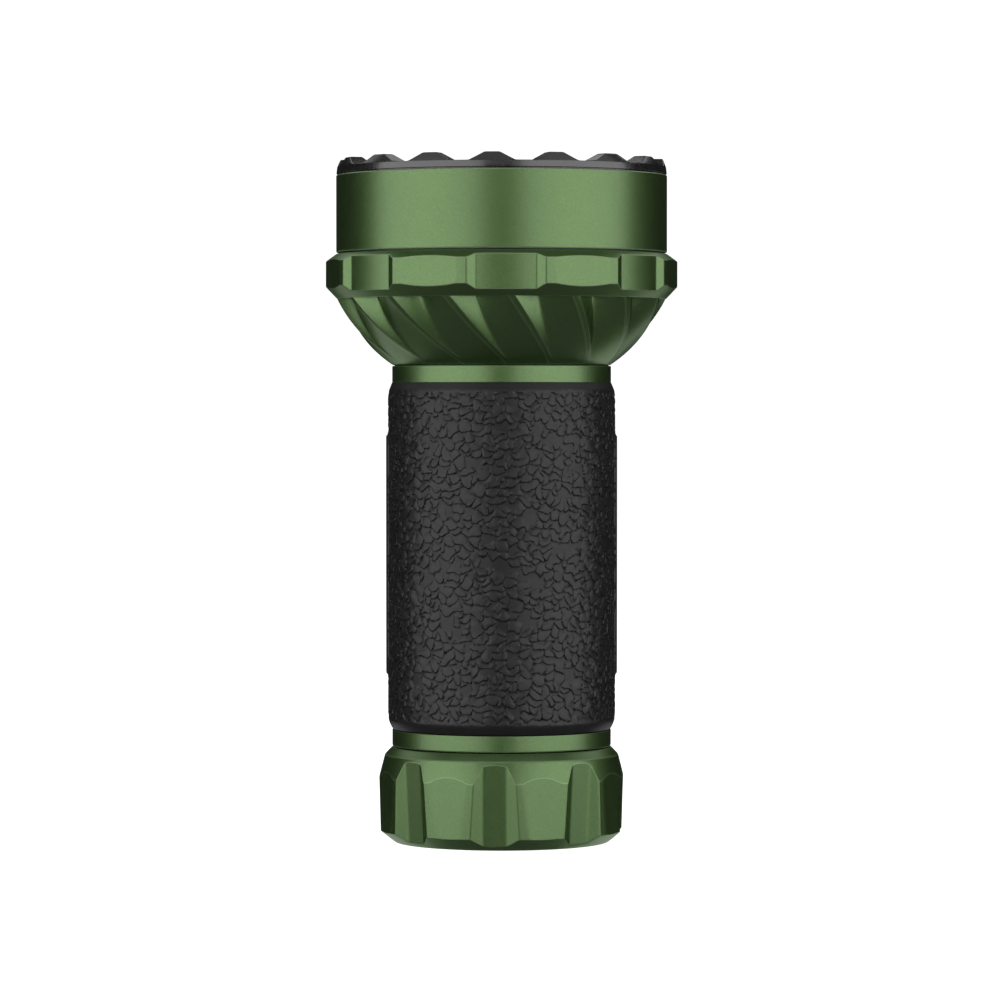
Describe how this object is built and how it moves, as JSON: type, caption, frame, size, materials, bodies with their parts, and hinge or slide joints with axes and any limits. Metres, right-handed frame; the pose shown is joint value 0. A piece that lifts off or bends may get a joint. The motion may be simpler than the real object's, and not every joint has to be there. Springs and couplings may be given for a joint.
{
  "type": "tactical flashlight",
  "caption": "Handheld high-output flashlight with a large fluted head, rubber grip, screw-off tail cap with removable cell, control knob and mode lever.",
  "frame": {"origin": "centre of the tail cap's bottom face, on which the light stands", "axes": "+Z along the light from the tail cap to the bezel, +Y towards the side with the controls, +X to the right seen from the front (-Y)"},
  "size_m": [0.0652, 0.0642, 0.1266],
  "materials": {
    "green_anodised": "satin bead-blasted anodising",
    "black_anodised": "gloss black anodising",
    "grip_rubber": "pebbled matte",
    "seal_rubber": "smooth",
    "black_plastic": "fine spark-eroded",
    "white_plastic": "smooth",
    "light_pipe": "clear frosted",
    "glass": "polished, coated",
    "mirror": "vapour-coated, polished",
    "steel": "plated",
    "magnet": "nickel plated",
    "brass": "turned",
    "circuit_board": "solder mask",
    "white_board": "white solder mask",
    "emitter": "phosphor under silicone",
    "cell_wrap": "shrink wrap",
    "wire": "insulation"
  },
  "bodies": {
    "tail": {"tail_cap": "green_anodised", "charge_insulator": "black_plastic", "charge_contact": "brass", "tail_magnet": "magnet", "tail_board": "circuit_board", "tail_retainer": "brass", "tail_spring": "steel"},
    "battery": {"battery_cell": "cell_wrap", "battery_washer": "white_plastic", "battery_terminal": "steel"},
    "seal_carrier": {"tail_seal": "seal_rubber"},
    "light": {"battery_tube": "green_anodised", "grip_sleeve": "grip_rubber", "neck_seal": "seal_rubber", "driver_board": "circuit_board", "driver_parts": "black_plastic", "driver_contact": "brass", "driver_retainer": "brass", "led_wires": "wire", "head_body": "green_anodised", "barrel_seal": "seal_rubber", "head_barrel": "green_anodised", "bezel_ring": "black_anodised", "lens_seal": "seal_rubber", "front_lens": "glass", "lens_gasket": "seal_rubber", "spot_reflector": "mirror", "flood_reflector": "mirror", "spot_board": "white_board", "spot_led": "emitter", "board_screws": "steel", "flood_board": "white_board", "flood_leds": "emitter", "control_plate": "black_plastic", "plate_gasket": "seal_rubber", "plate_screws": "steel", "switch_board": "circuit_board", "encoder_body": "steel", "mode_switch_body": "steel", "lever_pin": "steel", "indicator_lights": "light_pipe"},
    "plunger": {"switch_plunger": "white_plastic"},
    "knob": {"control_knob": "black_anodised", "knob_inlay": "green_anodised"},
    "lever": {"mode_lever": "black_anodised"}
  },
  "joints": [
    {"name": "thread_rise", "type": "slide", "parent": "tail", "child": "battery", "axis": [0, 0, 1], "range_m": [0, 0.005], "deforming": ["tail_spring"]},
    {"name": "lift_off", "type": "slide", "parent": "battery", "child": "seal_carrier", "axis": [0, 0, 1], "range_m": [0, 0.085]},
    {"name": "unscrew", "type": "hinge", "parent": "seal_carrier", "child": "light", "pos_m": [0, 0, 0], "axis": [0, 0, 1], "range_deg": [0, 1440]},
    {"name": "knob_press", "type": "slide", "parent": "light", "child": "plunger", "axis": [0, -1, 0], "range_m": [0, 0.0005], "stiffness_N_per_m": 4000, "springref_m": -0.0003},
    {"name": "knob_turn", "type": "hinge", "parent": "plunger", "child": "knob", "pos_m": [0, 0.024, 0.066], "axis": [0, 1, 0], "continuous": true},
    {"name": "lever_tilt", "type": "hinge", "parent": "light", "child": "lever", "pos_m": [0, 0.0199, 0.0505], "axis": [1, 0, 0], "range_deg": [-12, 12]}
  ],
  "couplings": [
    {"joint": "thread_rise", "follows": "unscrew", "m_per_rad": 0.00019894}
  ]
}
